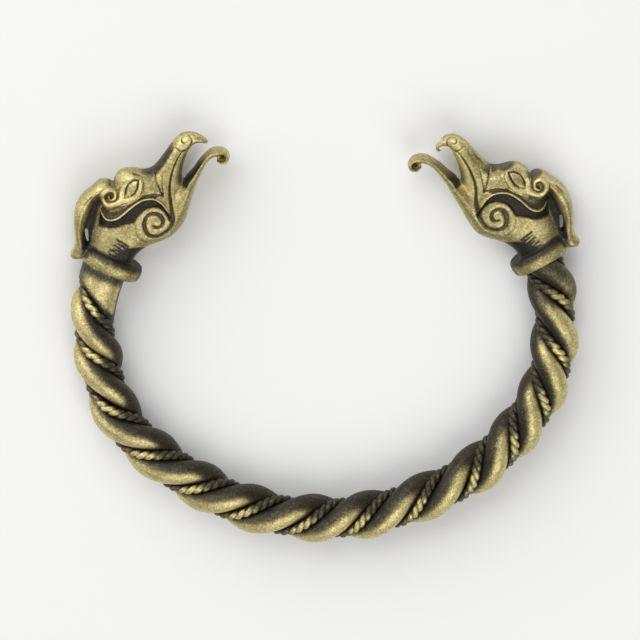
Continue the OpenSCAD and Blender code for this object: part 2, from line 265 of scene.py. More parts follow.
def bendAt(t):
    # Turn ahead of the even twist in radians, and distance out from the oval
    rows = np.array(rope["bend"], dtype=float)
    t = np.degrees(t) % 360
    t = np.clip(np.where(t < hoop["opening"], t + 360, t), rows[0, 0], rows[-1, 0])
    i = np.clip(np.searchsorted(rows[:, 0], t, side="right") - 1, 0, len(rows) - 2)
    f = ((t - rows[i, 0]) / (rows[i + 1, 0] - rows[i, 0]))[:, None]
    a, b = rows[np.maximum(i - 1, 0), 1:], rows[i, 1:]
    c, d = rows[i + 1, 1:], rows[np.minimum(i + 2, len(rows) - 1), 1:]
    value = curveThrough(a, b, c, d, f)
    return np.radians(value[:, 0]), value[:, 1]


def ropeGuide(count, pinched, strandTurn):
    # The rope's middle as a line whose points carry the way out, the twist and the pinch,
    # which holds a strand inside the left head's sleeve until it leaves it
    t = np.linspace(math.radians(hoop["leftEnd"]), math.radians(360 + hoop["rightEnd"]), count)
    ahead, outBy = bendAt(t)
    line, out = [np.column_stack([flat, 0 * t]) for flat in ovalAt(t)]
    line = (line + out * outBy[:, None] + np.array(hoop["middle"])) * mm
    mesh = bpy.data.meshes.new("ropeGuide")
    mesh.from_pydata(line, [(i, i + 1) for i in range(count - 1)], [])
    layer = mesh.attributes.new("outward", "FLOAT_VECTOR", "POINT")
    layer.data.foreach_set("vector", out.astype(np.float32).ravel())
    twist = ahead - hoop["turns"] * (t - math.radians(hoop["twistStart"]))
    setAttribute(mesh, "twist", twist)
    leaves = np.radians(hoop["leftEnd"] + rope["sleeveLeaves"]
                        - rope["sleeveSlope"] * np.sin(twist + strandTurn))
    squeezed = smoothstep(math.radians(rope["sleeveFade"]), 0, t - leaves)
    setAttribute(mesh, "pinch", 1 - (1 - rope["pinch"]) * squeezed * pinched)
    return mesh


def ropeTree():
    tree = bpy.data.node_groups.new("ropeStrand", "GeometryNodeTree")
    face = tree.interface
    face.new_socket("Guide", in_out="INPUT", socket_type="NodeSocketGeometry")
    kinds = {"Strand Turn": "Float", "Reach": "Float", "Radius": "Float", "Ply Reach": "Float",
             "Ply Twists": "Float", "Ply Turn": "Float", "Sides": "Int", "Metal": "Material"}
    sockets = {name: face.new_socket(name, in_out="INPUT", socket_type="NodeSocket" + kind)
               for name, kind in kinds.items()}
    face.new_socket("Geometry", in_out="OUTPUT", socket_type="NodeSocketGeometry")
    given = tree.nodes.new("NodeGroupInput").outputs

    def maths(operation, a, b=0.0):
        return addMaths(tree, operation, a, b)

    def vector(operation, a, b):
        return addNode(tree, "ShaderNodeVectorMath", {0: a, 1: b}, operation=operation).outputs[0]

    def scaled(a, scale):
        return addNode(tree, "ShaderNodeVectorMath", {0: a, "Scale": scale},
                       operation="SCALE").outputs[0]

    def carried(name, kind="FLOAT"):
        return addNode(tree, "GeometryNodeInputNamedAttribute", {"Name": name},
                       data_type=kind).outputs["Attribute"]

    def moved(geometry, offset):
        return addNode(tree, "GeometryNodeSetPosition", {"Geometry": geometry, "Offset": offset})

    angle = maths("ADD", carried("twist"), given["Strand Turn"])
    up = addNode(tree, "ShaderNodeCombineXYZ", {"Z": maths("COSINE", angle)}).outputs[0]
    radial = vector("ADD", up, scaled(carried("outward", "FLOAT_VECTOR"), maths("SINE", angle)))
    curve = addNode(tree, "GeometryNodeMeshToCurve", {"Mesh": given["Guide"]})
    reach = maths("MULTIPLY", given["Reach"], carried("pinch"))
    bend = moved(curve.outputs[0], scaled(radial, reach))

    # The plies turn round the strand's own line, whose heading is kept before they leave it
    keep = tree.nodes.new("GeometryNodeCaptureAttribute")
    keep.capture_items.new("VECTOR", "Heading")
    tree.links.new(bend.outputs[0], keep.inputs["Geometry"])
    tree.links.new(tree.nodes.new("GeometryNodeInputTangent").outputs[0], keep.inputs["Heading"])
    along = tree.nodes.new("GeometryNodeSplineParameter").outputs["Factor"]
    turn = maths("MULTIPLY", maths("MULTIPLY", along, 2 * math.pi), given["Ply Twists"])
    turn = maths("ADD", turn, given["Ply Turn"])
    sideways = vector("CROSS_PRODUCT", keep.outputs["Heading"], radial)
    offset = vector("ADD", scaled(radial, maths("COSINE", turn)),
                    scaled(sideways, maths("SINE", turn)))
    twist = moved(keep.outputs["Geometry"], scaled(offset, given["Ply Reach"]))

    circle = addNode(tree, "GeometryNodeCurvePrimitiveCircle",
                     {"Resolution": given["Sides"], "Radius": given["Radius"]})
    sweep = addNode(tree, "GeometryNodeCurveToMesh",
                    {"Curve": twist.outputs[0], "Profile Curve": circle.outputs[0],
                     "Fill Caps": True})
    realize = addNode(tree, "GeometryNodeRealizeInstances", {0: sweep.outputs[0]})
    metal = addNode(tree, "GeometryNodeSetMaterial",
                    {"Geometry": realize.outputs[0], "Material": given["Metal"]})
    addNode(tree, "NodeGroupOutput", {"Geometry": metal.outputs[0]})
    return tree, {name: socket.identifier for name, socket in sockets.items()}


ropeNodes, ropeSockets = ropeTree()


def growStrand(values, count, pinched=1.0):
    holder = addObject("strandHolder", ropeGuide(count, pinched, values["Strand Turn"]))
    modifier = holder.modifiers.new("ropeStrand", "NODES")
    modifier.node_group = ropeNodes
    for name, value in {"Ply Reach": 0.0, "Ply Twists": 0.0, "Ply Turn": 0.0, **values}.items():
        modifier[ropeSockets[name]] = value
    graph = bpy.context.evaluated_depsgraph_get()
    mesh = bpy.data.meshes.new_from_object(holder.evaluated_get(graph))
    guide = holder.data
    holder.modifiers.clear()
    bpy.data.objects.remove(holder)
    bpy.data.meshes.remove(guide)
    for name in ("outward", "twist", "pinch"):
        if name in mesh.attributes:
            mesh.attributes.remove(mesh.attributes[name])
    return mesh


def ropeCoordinates(points):
    # Angle round the oval, distance from the rope's middle, the share of that which is
    # outwards, height over the middle, and the way out
    p = points / mm - np.array(hoop["middle"])
    a, b = hoop["halfWidth"], hoop["halfDepth"]
    t = np.arctan2(p[:, 1] / b, p[:, 0] / a)
    for _ in range(4):
        x, y = a * np.cos(t), b * np.sin(t)
        dx, dy = -a * np.sin(t), b * np.cos(t)
        miss = (x - p[:, 0]) * dx + (y - p[:, 1]) * dy
        slope = dx * dx + dy * dy - (x - p[:, 0]) * x - (y - p[:, 1]) * y
        t = t - miss / slope
    point, out = ovalAt(t)
    outwards = ((p[:, :2] - point) * out).sum(axis=1) - bendAt(t)[1]
    away = np.hypot(outwards, p[:, 2])
    return t, away, outwards / away, p[:, 2], out


def readVectors(items, key):
    values = np.empty(len(items) * 3, dtype=np.float32)
    items.foreach_get(key, values)
    return values.reshape(-1, 3).astype(float)


def meshPoints(mesh):
    return readVectors(mesh.vertices, "co")


def pointNormals(mesh):
    return readVectors(mesh.vertex_normals, "vector")


def finishPiece(name, mesh, node):
    mesh.name = name
    obj = addObject(name, mesh)
    mesh.shade_smooth()
    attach(obj, "root")
    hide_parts(node)


def joinMeshes(meshes):
    points, faces, start = [], [], 0
    for mesh in meshes:
        points.append(meshPoints(mesh))
        faces += [[start + v for v in f.vertices] for f in mesh.polygons]
        start += len(mesh.vertices)
    joined = bpy.data.meshes.new("joined")
    joined.from_pydata(np.vstack(points), [], faces)
    joined.materials.append(meshes[0].materials[0])
    return joined


# Wear of the strands and wires, and painted shade on their outer rims and by the right
# head. Angles go round the oval in degrees, and a share is how far out a point lies from
# the rope's middle, in parts of its distance
strandWearAndShade = dict(dark=0.88, bright=0.74, lens=(-0.50, 0.14), crest=(2.3, 3.2),
                  lean=0.62, leansOver=(-0.6, 0.6),
                  inwards=0.56, inwardsSoft=0.18, moreInwards=0.22, moreLeft=(215, 190),
                  moreRight=(318, 335), under=(-3.5, -1.6), underLeast=0.45,
                  rim=(0.84, 1.0), rimInside=(0.0, -0.6), rimShade=0.3,
                  endShade=0.8, endShadeOver=(365.5, 370.0), endSpot=(371.5, 0.5),
                  endSpotReach=(2.6, 0.35))
# The sleeve's shade on the strands: its share at an angle, how fast that falls, its soft edge
sleeveShade = dict(share=0.75, angle=170, fall=0.095, soft=0.22, ends=(185, 181))
wireWearAndShade = dict(dark=0.95, bright=0.80, crest=(2.62, 3.02), least=0.15, lens=(-0.42, 0.04),
                outer=(0.52, 0.82), outerShade=0.7, endShadeOver=(8, 14), endShade=0.6)


def strandTone(t, away, share, upwards, out, normals):
    # Each strand is worn in a long lens on the side that looks outwards and ahead
    wear = strandWearAndShade
    ahead = np.stack([-out[:, 1], out[:, 0]], 1)
    lean = wear["lean"] * smoothstep(*wear["leansOver"], upwards)
    side = out + ahead * lean[:, None]
    side /= np.linalg.norm(side, axis=1)[:, None]
    lateral = normals[:, 0] * side[:, 0] + normals[:, 1] * side[:, 1]
    angle = np.degrees(t) % 360
    reach = wear["inwards"] + wear["moreInwards"] * (smoothstep(*wear["moreLeft"], angle)
                                                     + smoothstep(*wear["moreRight"], angle))
    soft = wear["inwardsSoft"]
    wearAndShade = smoothstep(*wear["lens"], lateral) * smoothstep(reach + soft, reach - soft, -share)
    wearAndShade *= smoothstep(*wear["crest"], away)
    least = wear["underLeast"]
    wearAndShade *= least + (1 - least) * smoothstep(*wear["under"], upwards)
    # Painted shade along the outer rim, where the strand turns away
    rim = smoothstep(*wear["rim"], lateral) * smoothstep(*wear["rimInside"], share)
    wearAndShade *= 1 - wear["rimShade"] * rim

    edge = sleeveShade["share"] - (angle - sleeveShade["angle"]) * sleeveShade["fall"]
    shaded = smoothstep(0.0, sleeveShade["soft"], edge - share)
    shaded *= smoothstep(*sleeveShade["ends"], angle) * (angle > hoop["opening"])
    angle = np.where(angle < hoop["opening"], angle + 360, angle)
    # Painted shade below the right head's collar, with a small lighter spot kept in it
    spot = spotAt(angle, share, wear["endSpot"], wear["endSpotReach"])
    wearAndShade *= 1 - wear["endShade"] * smoothstep(*wear["endShadeOver"], angle) * (1 - spot)
    return wear["dark"] - wear["bright"] * wearAndShade * (1 - shaded)


def wireTone(t, away, share):
    # Each wire is worn along its crest, on the rope's outer half
    wear = wireWearAndShade
    wearAndShade = smoothstep(*wear["lens"], share)
    # Painted shade on the beads at the outer rim
    wearAndShade *= 1 - wear["outerShade"] * smoothstep(*wear["outer"], share)
    # Painted shade below the right head's collar
    angle = np.degrees(t) % 360
    angle = np.where(angle > hoop["opening"], 0, angle)
    wearAndShade *= 1 - wear["endShade"] * smoothstep(*wear["endShadeOver"], angle)
    wearAndShade = wear["least"] + (1 - wear["least"]) * wearAndShade
    return wear["dark"] - wear["bright"] * smoothstep(*wear["crest"], away) * wearAndShade


def makeRope():
    for number in (1, 2):
        mesh = growStrand({"Strand Turn": math.pi * (number - 1),
                           "Reach": rope["strandReach"] * mm,
                           "Radius": rope["strandThick"] / 2 * mm,
                           "Sides": rope["strandSides"], "Metal": strandBronze},
                          rope["strandPoints"])
        around = ropeCoordinates(meshPoints(mesh))
        setAttribute(mesh, "patinaAndPaintedLight", strandTone(*around, pointNormals(mesh)))
        finishPiece("thickStrand%d" % number, mesh, "thick_strand_%d" % number)

    for number in (1, 2):
        plies = [growStrand({"Strand Turn": math.pi * (number - 0.5),
                             "Reach": rope["wireReach"] * mm,
                             "Radius": rope["plyThick"] / 2 * mm,
                             "Ply Reach": rope["plyReach"] * mm,
                             "Ply Twists": float(rope["wireTwists"]), "Ply Turn": turn,
                             "Sides": rope["plySides"], "Metal": wireBronze},
                            rope["plyPoints"], 0.0) for turn in (0.0, math.pi)]
        mesh = joinMeshes(plies)
        setAttribute(mesh, "patinaAndPaintedLight", wireTone(*ropeCoordinates(meshPoints(mesh))[:3]))
        finishPiece("twistedWire%d" % number, mesh, "twisted_wire_%d" % number)


makeRope()
print("rope made")

# Heads. Their tables count in hundredths of the head's length, and the thickness in
# shares of half the head's thickness. Along is forwards from the collar, out is outwards.
head = dict(length=24.0, thick=8.1, fullness=0.75, voxel=0.095, quickVoxel=0.152, band=10,
            ribSides=48, triangles=190000, gridFrom=(-2.9, -12.2, -5.4), sleevedFrom=-9.8,
            gridTo=(25.4, 9.8, 5.4),
            curlAt=(94.0, -39.6), curlRadius=3.6, curlThick=0.32, dimple=0.5, dimpleReach=1.9,
            slit=((5.6, 18.3), (14.0, 22.5)), slitHalf=2.05, slitShift=(2.4, 1.2),
            webThick=0.34,
            earBoss=((42.6, 20.6), 6.0, 3.0),
            collarOut=-2.1, collarHalf=5.4, collarReach=20.4, collarDepth=9, collarThick=8.6,
            socketFloor=0.2, socketRadius=3.925, sleeveRadius=3.58, sleeveTaper=0.03,
            sleeveRise=0.2, sleeveCurve=55, sleeveEnd=5.75, sleeveSlant=0.50,
            jawDrop=6.0, dropOver=25, mouthCorner=(67.0, -27.0),
            hookShift=(-1.6, 2.7), hookFrom=(80, -14), hookOver=10, beakTrim=0.1, trimFrom=86,
            throatIn=2.9, throatAt=48, throatReach=14,
            reliefOut=4.8, reliefAhead=0.6, reliefAt=(50, 14), reliefReach=(22, 32),
            reliefUp=(0.3, 0.75), thinnest=0.8)
# How far in millimetres each part runs over into the rest of the casting
blend = dict(jaw=0.765, curl=0.225, boss=0.675, mane=0.27, web=1.08, collar=0.315, sleeve=0.3)
unit = head["length"] / 100

# Back edge along and out, throat edge along and out, thickness
spineRows = [
    (-1, 13.6, -1, -14.5, .78), (7.5, 14.6, 8, -14, .78), (15, 17, 14, -15.2, .82),
    (22, 18.4, 21, -19.4, .92), (29, 20, 27, -25.6, .98), (37, 21.5, 33, -30.6, 1),
    (44, 21.5, 39.5, -33, 1), (49.5, 18.6, 46, -33, .99), (54.5, 18.9, 52.5, -31, .97),
    (59.5, 16.5, 57.5, -28.5, .93), (62.3, 11.5, 61.5, -25.5, .87), (64, 5, 64.5, -23.8, .8),
    (67.5, .2, 67.3, -22.6, .75), (72.6, -2.4, 72, -20.2, .7), (80, -4.2, 77.8, -18.6, .64),
    (87, -5.6, 84, -17.9, .57), (92.5, -7, 89, -18, .52), (97.4, -10, 93.2, -19.2, .46),
    (100.1, -14.5, 95.4, -20.9, .4), (100.9, -19.6, 96.4, -22.9, .34),
    (100.2, -24.2, 97, -25, .24)]
plainTip = [(98.9, -27.2, 97.7, -26.7, .12)]
hookedTip = [(98.9, -27, 97, -25.9, .2), (96.8, -28.4, 96.4, -26.6, .17),
             (94.7, -27.8, 95.3, -26.4, .14), (94.1, -26, 95, -25.9, .09)]
# Mouth edge along and out, throat edge along and out, thickness
jawRows = [
    (38, -12, 35, -27, .82), (50, -16, 44.8, -33.2, .84), (60, -19.5, 54, -33.2, .85),
    (67.3, -22.8, 63, -32, .84), (72, -23.3, 70, -31.3, .8), (77.5, -25.1, 76.5, -31.2, .75),
    (84, -26.5, 83, -31.4, .68), (90, -28.2, 88, -32.3, .62), (94.3, -30.2, 91.4, -34.2, .58),
    (97.2, -33.6, 92.6, -36, .56), (98.5, -37.4, 94.2, -37.2, .55), (98, -41.2, 94.9, -38.8, .54),
    (95.2, -44.1, 94.2, -40.4, .53), (91.6, -43.6, 92.6, -40.6, .52),
    (89.4, -40.6, 91.7, -39.4, .5), (89.8, -37, 91.8, -38, .48)]
# Outer edge along and out, inner edge along and out, thickness
maneRows = [
    (-7, 22.9, -6.6, 20.2, .2), (-5.2, 25, -4.8, 17.2, .4), (-1.5, 24.6, -1.5, 15, .5),
    (4, 25.4, 4.5, 17.6, .56), (10, 28.4, 11, 22.8, .58), (17.5, 32.2, 18, 24.4, .62),
    (26, 34.4, 24.5, 24.8, .66), (34, 33.4, 30, 25, .7), (41.4, 29.6, 35, 25.4, .74),
    (46.8, 27, 38.5, 23, .76), (49.4, 21, 41, 17.5, .74), (46, 16, 44, 11, .6)]
webOutline = [(2, 10), (2, 20), (5, 21), (12, 25), (18, 27), (28, 27.5), (38, 26), (43, 19),
              (40, 10)]


def smoothRows(rows, steps=5):
    rows = np.array(rows, dtype=float)
    ends = np.vstack([2 * rows[0] - rows[1], rows, 2 * rows[-1] - rows[-2]])
    result = []
    for i in range(len(rows) - 1):
        a, b, c, d = ends[i:i + 4]
        for f in np.arange(steps) / steps:
            result.append(curveThrough(a, b, c, d, f))
    result.append(rows[-1])
    return np.array(result)


def ringSkin(rings):
    # Closed skin over a row of rings, as points and triangles
    count, sides = rings.shape[:2]
    triangles = []
    for i in range(count - 1):
        for k in range(sides):
            a, b = i * sides + k, i * sides + (k + 1) % sides
            triangles += [(a, b, b + sides), (a, b + sides, a + sides)]
    last = (count - 1) * sides
    for k in range(1, sides - 1):
        triangles += [(0, k + 1, k), (last, last + k, last + k + 1)]
    return rings.reshape(-1, 3), np.array(triangles)


def ribSkin(rows):
    rows = smoothRows(rows)
    mid, arm = (rows[:, 0:2] + rows[:, 2:4]) / 2, (rows[:, 0:2] - rows[:, 2:4]) / 2
    a = np.arange(head["ribSides"]) * 2 * math.pi / head["ribSides"]
    rise = np.sign(np.sin(a)) * np.abs(np.sin(a)) ** head["fullness"]
    flat = mid[:, None, :] + arm[:, None, :] * np.cos(a)[None, :, None]
    up = rows[:, 4][:, None] * rise[None, :] * head["thick"] / 2
    return ringSkin(np.concatenate([flat * unit, up[:, :, None]], axis=2))


def disc(at, radius):
    a = np.arange(32) * math.pi / 16
    return np.column_stack([at[0] + radius * np.cos(a), at[1] + radius * np.sin(a)])


def slabSkin(outline, half):
    # Flat slab over an outline in the head's plane
    flat = np.array(outline, dtype=float) * unit
    rings = [np.column_stack([flat, np.full(len(flat), z)]) for z in (-half, half)]
    return ringSkin(np.array(rings))


def collarSkin(sides=72):
    band, reach = unit * head["collarHalf"], unit * head["collarReach"]
    inner, squash = reach - unit * head["collarDepth"], head["collarThick"] / 2 / reach
    # Radius and place along, from the middle of the band to the hole, then mirrored
    front = [(reach, 0), (reach - .05 * band, .5 * band), (reach - .2 * band, .85 * band),
             (reach - .45 * band, band), (inner, .95 * band), (0.01, .9 * band)]
    profile = [(r, -x) for r, x in front[:0:-1]] + front
    a = np.arange(sides) * 2 * math.pi / sides
    rings = [np.column_stack([np.full(sides, x), r * np.cos(a) + unit * head["collarOut"],
                              r * squash * np.sin(a)]) for r, x in profile]
    return ringSkin(np.array(rings))


class HeadGrid:
    def __init__(self, voxel, low, high):
        self.voxel = voxel
        low, high = np.array(low), np.array(high)
        self.corner = np.floor(low / voxel).astype(int)
        self.shape = tuple(np.ceil(high / voxel).astype(int) - self.corner)
        self.x, self.y, self.z = [(self.corner[i] + np.arange(self.shape[i])) * voxel
                                  for i in range(3)]

    def distance(self, skin):
        points, triangles = skin
        grid = openvdb.FloatGrid.createLevelSetFromPolygons(
            points.astype(np.float32), triangles=triangles.astype(np.uint32),
            transform=openvdb.createLinearTransform(voxelSize=self.voxel),
            halfWidth=float(head["band"]))
        values = np.zeros(self.shape, dtype=np.float32)
        grid.copyToArray(values, ijk=tuple(int(c) for c in self.corner))
        return values


def softUnion(a, b, blend):
    h = np.clip(blend - np.abs(a - b), 0, None) / blend
    return np.minimum(a, b) - h * h * blend / 4


def toStretch(u, v, a, b):
    # Distance to the straight stretch from a to b, and how far along it the nearest point is
    d = b[:2] - a[:2]
    f = np.clip(((u - a[0]) * d[0] + (v - a[1]) * d[1]) / (d @ d), 0, 1)
    return np.hypot(u - a[0] - f * d[0], v - a[1] - f * d[1]), f


def alongPath(u, v, rows, steps=4):
    # Distance to a smooth path in parts of its half width, and the share of its height there
    rows = smoothRows(rows, steps)
    best = np.full(u.shape, 1e9)
    columns = np.zeros(u.shape + (2,))
    for a, b in zip(rows[:-1], rows[1:]):
        away, f = toStretch(u, v, a, b)
        closer = away < best
        best = np.where(closer, away, best)
        columns[closer] = (a[2:] + f[..., None] * (b[2:] - a[2:]))[closer]
    return best / columns[..., 0], columns[..., 1]


def insideOutline(u, v, outline):
    # Depth inside a closed outline, negative outside it
    outline = np.array(outline, dtype=float)
    inside = np.zeros(u.shape, dtype=bool)
    best = np.full(u.shape, 1e9)
    for a, b in zip(outline, np.roll(outline, -1, axis=0)):
        best = np.minimum(best, toStretch(u, v, a, b)[0])
        crosses = (a[1] > v) != (b[1] > v)
        rise = b[1] - a[1]
        rise = rise if abs(rise) > 1e-9 else 1e-9
        inside ^= crosses & (u < a[0] + (v - a[1]) * (b[0] - a[0]) / rise)
    return np.where(inside, best, -best)


def blurred(values, radius):
    fu = np.fft.fftfreq(values.shape[0])[:, None]
    fv = np.fft.rfftfreq(values.shape[1])[None, :]
    keep = np.exp(-2 * (math.pi * radius) ** 2 * (fu * fu + fv * fv))
    return np.fft.irfft2(np.fft.rfft2(values) * keep, s=values.shape)


# Relief on both faces of a head. Ridges and grooves: along, out, half width, height share
voluteGroove = [
    (89, -14.5, .35, .5), (85.7, -13.5, .4, .7), (81.6, -13, .45, .8), (77.1, -13, .5, .9),
    (72.5, -13.4, .55, 1), (68.6, -14.2, .6, 1), (64.3, -15.4, .65, 1), (60.2, -17.3, .7, 1),
    (55.2, -20.2, .8, 1), (50.2, -23.1, 1, 1), (45.9, -25.7, 1.2, 1), (42, -26.7, 1.2, 1),
    (37.7, -26.2, 1.2, 1), (33.8, -24.2, 1.2, 1), (30.7, -21.1, 1.1, 1), (29.7, -17.3, 1.1, 1),
    (30.6, -14.1, 1.1, 1), (33.4, -11.3, 1.2, 1), (36.2, -9.9, 1.2, 1), (39.4, -9.6, 1.2, 1),
    (42.5, -10.8, 1.2, 1), (44.4, -13.6, 1.2, 1), (44.7, -16.7, 1.2, 1), (43.1, -19.8, 1.1, 1),
    (40.4, -21, 1.1, 1), (37.7, -20.6, 1, 1), (36.4, -18.3, .9, 1), (36.6, -16.5, .8, .8)]
# The right head's volute is cut wider and lies further in
rightVolute = voluteGroove[:9] + [
    (50.8, -21.8, 1.2, 1), (46.8, -22.8, 1.5, 1), (43.3, -23.7, 1.5, 1), (40, -23.7, 1.4, 1),
    (36.8, -23.2, 1.4, 1), (33.9, -21.6, 1.3, 1), (31.6, -19.1, 1.3, 1), (30.2, -16, 1.4, 1),
    (30.2, -13.4, 1.6, 1), (31.3, -11.2, 1.7, 1), (33.7, -9.8, 1.7, 1), (36.3, -9.1, 1.7, 1),
    (38.9, -9.1, 1.6, 1), (41.2, -9.9, 1.4, 1), (42.7, -11.5, 1.2, 1), (43.2, -13.6, 1.2, 1),
    (42.7, -15.5, 1.1, 1), (41.4, -16.9, 1, 1), (39.5, -17.3, 1, 1), (37.7, -16.9, .9, 1),
    (36.6, -15.8, .9, 1), (36.2, -14.2, .7, .8)]
browRidge = [
    (31.5, 19.4, .8, .8), (28.2, 14.6, .9, 1), (28.8, 10.6, 1, 1), (32.4, 6.8, .9, 1),
    (37, 4.4, .8, 1), (42, 2.1, .8, 1), (46.9, -.7, .8, 1), (50.3, -3.5, .8, 1),
    (52.7, -7.3, .8, 1), (53.4, -10.5, .8, 1), (52.5, -15.2, .8, .9), (50.4, -18.9, .7, .7),
    (48.6, -21.5, .6, .3)]
recessOutline = [
    (21.5, 16), (30.5, 19), (27.2, 14.4), (27.6, 10.7), (30.7, 6.6), (36, 3.6), (41.5, 1.1),
    (46.2, -1.6), (49.4, -4.2), (51.6, -7.7), (52.3, -10.6), (51.4, -15), (49.4, -18.6),
    (46.5, -24.5), (43.6, -24.6), (45.9, -21.8), (48.2, -18.7), (49.3, -14.4), (48.2, -10.7),
    (45.6, -7.6), (42.3, -5.5), (38.1, -4.3), (33.7, -3.6), (31, .2), (28.7, 3.1), (25.9, 5.8),
    (23.8, 9.1)]
eyeLobe = [
    (52.4, 13.8), (55.8, 11.1), (59, 8.9), (62.2, 5.4), (61.8, 2.6), (59.9, .5), (56.9, -.5),
    (52.6, -.7), (48.3, .7), (45, 3.4), (42.4, 6.5), (39.6, 10.5), (44, 12.2), (48, 13.4)]
eyeLozenge = [(60.6, 4.7), (58.9, 7.7), (55.2, 9.7), (51.6, 9.6), (46.5, 8), (48.7, 5.3),
              (52.1, 3.5), (56.4, 3.5)]
earBand = [
    (48, 6.5, 3, .8), (43.2, 9.8, 2.8, 1), (39.4, 12.8, 2.3, 1), (36.6, 16.6, 2.1, 1),
    (38.2, 20.6, 2, 1), (42.6, 21.8, 1.9, 1), (46.3, 19.6, 1.7, 1), (46.6, 15.8, 1.5, 1),
    (43.4, 13.9, 1.3, 1), (40.9, 15.8, 1.1, .9), (42, 17.6, .9, .8)]
leafRidge = [(33.6, 15.4, 1.1, .4), (35, 11.4, 1.8, .7), (39, 7.6, 1.6, .7),
             (44, 4, 1.2, .6), (50.5, -.4, .7, .5), (55, -6, .5, .4)]
nostrilGrooves = [
    [(88.6, -8.6, .35, .5), (87.9, -11, .4, .9), (88.0, -14, .45, 1), (89.4, -16.2, .45, 1),
     (92.2, -17.2, .45, 1), (95.4, -17.2, .4, 1), (97.6, -16, .4, .8), (98.6, -13.6, .35, .4)],
    [(96.2, -10.6, .35, .5), (94.2, -10.6, .4, .9), (93.2, -11.8, .4, .9), (93.4, -13.4, .4, .9),
     (94.4, -14.2, .35, .6)]]
fineGrooves = [
    [(68.9, -1.6, .4, .4), (63, -7.6, .5, .8), (57.2, -13.8, .6, 1)],
    [(71, -7.8, .4, .3), (64, -10.6, .45, .7), (57.5, -13.7, .6, 1)],
    [(50.5, -2.3, .5, .6), (54.8, -5.6, .55, .9), (57.2, -12.6, .6, 1)],
    [(36.9, 27.7, .5, .7), (33.5, 29.2, .5, .7), (29.7, 30.3, .4, .3)]]
padEdge = [(33.5, -3.7, .5, .3), (29.9, -5.8, .6, .5), (26.9, -8.2, .6, .6),
           (24.9, -11.6, .6, .6), (23.7, -15.2, .6, .5), (24.2, -18.8, .5, .3)]
leafOutline = [
    (31, 19.5), (28.5, 14.5), (29, 10.7), (32.6, 7.2), (37, 5), (42, 2.8), (46.9, 0),
    (50.3, -2.8), (52.5, -6.5), (53.4, -10), (57, -12.8), (54.8, -5.6), (52.6, -1.3),
    (48.3, .1), (45, 2.8), (42, 5.9), (39.2, 9.9), (36, 12.8), (34, 15.5), (34.3, 19)]
# Areas of patina on both faces, the first a painted shade on the top of the beak and skull where
# they slope back: outline, depth of tone, softness of its edge
shadedAreas = [
    ([(94, -4.9), (93, -5.4), (85.5, -6.3), (77.9, -6.4), (67.8, -4.2), (62.4, 4.7), (61, 9),
      (64, 16), (80, 12), (96, 4)], .72, .8),
    (leafOutline, .8, .5),
    ([(62.6, 4), (67, -2.5), (57.5, -12.8), (55.2, -6), (53, -1.2), (57, -.8), (60, .2)],
     .34, .8)]
# Soft darker spots; the one where the dome meets the ear is a painted shade
softSpots = [  # along, out, reach, depth of tone
    (65.5, 5, 4, .6), (47.6, 17.4, 4, .75), (26, 8.5, 5, .55), (.5, 17, 5, .85),
    (5, 15, 4, .75), (34, -31.5, 5, .3), (44, -33, 5, .35), (60, -20, 6, .3), (72, -27, 6, .3),
    (66, -12, 5, .3), (80, -9, 5, .3), (50, 5.5, 3, .3), (33, -16, 4, .3)]
# Lighter spots: worn polish, with painted highlights on the dome, the mane's top and the beak
brightSpots = [  # along, out, reach, strength
    (59, 14, 5, .95), (46, 26.5, 5, .9), (22, 7, 5, .7), (15, 9, 5, .6), (93, -11, 7, .8),
    (20, -6, 5, .4), (40, 31, 6, .8), (28, 31, 5, .6), (97, -18, 5, .6)]
# The right head has painted shade over the front of its skull and of its mane
domeFront = [(69, -2.5), (65.7, 1.3), (61.9, 5.9), (60.9, 11.8), (61.3, 15), (66, 16), (70, 5)]
maneFront = [(54, 19), (54, 24.5), (49, 28), (47, 26.5), (47.6, 22.5), (47.4, 19), (50, 17.5)]
neckPatch = [(20.5, -17), (18, -11), (16, -6.5), (13, -3.2), (9.6, -1.2), (5.5, 2),
             (4.5, -16), (12, -17.5)]
neckFingers = [(18.8, 2.0), (16.4, .6), (14.4, 2.3), (12.5, 1.7), (10.6, 3.3), (8.2, 3.3),
               (6.2, 3.8)]
maneGap = [(3, 15), (1, 20), (5, 21.4), (12, 23.6), (18, 24.8), (28, 25.4), (34, 25), (38, 23.6),
           (36, 20), (31, 20.3), (24, 18.6), (15, 17.4), (8, 15.4)]

# Heights and depths of the relief in mm, and how full the ridges are
relief = dict(eyeRise=0.34, eyeEdge=(-0.3, 1.2), recess=0.42, leafDrop=0.16, edge=(-0.2, 0.8),
              groove=0.34, lozenge=0.17, lozengeLine=0.6, ridgePower=0.6)
ridges = [(browRidge, .288, .62), (earBand, .396, 1), (leafRidge, .216, .45)]  # path, top, wear


def cutsOf(volute):
    # Each groove with its share of the full depth and its depth of tone
    return ([(volute, 1, .76), (padEdge, .4, .62)] + [(rows, .6, .58) for rows in nostrilGrooves]
            + [(rows, .6, .74) for rows in fineGrooves])


def reliefHeight(u, v, volute):
    # Height of the relief in mm over the head's plane
    height = relief["eyeRise"] * smoothstep(*relief["eyeEdge"], insideOutline(u, v, eyeLobe))
    for rows, top, _ in ridges:
        d, share = alongPath(u, v, rows)
        ridge = np.clip(1 - d ** 2, 0, 1) ** relief["ridgePower"]
        height = np.maximum(height, top * share * ridge)
    for outline, drop in ((recessOutline, relief["recess"]), (leafOutline, relief["leafDrop"])):
        height -= drop * smoothstep(*relief["edge"], insideOutline(u, v, outline))
    lozenge = insideOutline(u, v, eyeLozenge) / relief["lozengeLine"]
    height -= relief["lozenge"] * np.exp(-lozenge ** 2)
    for rows, depth, _ in cutsOf(volute):
        d, share = alongPath(u, v, rows)
        height -= relief["groove"] * depth * share * np.exp(-d ** 2)
    return height


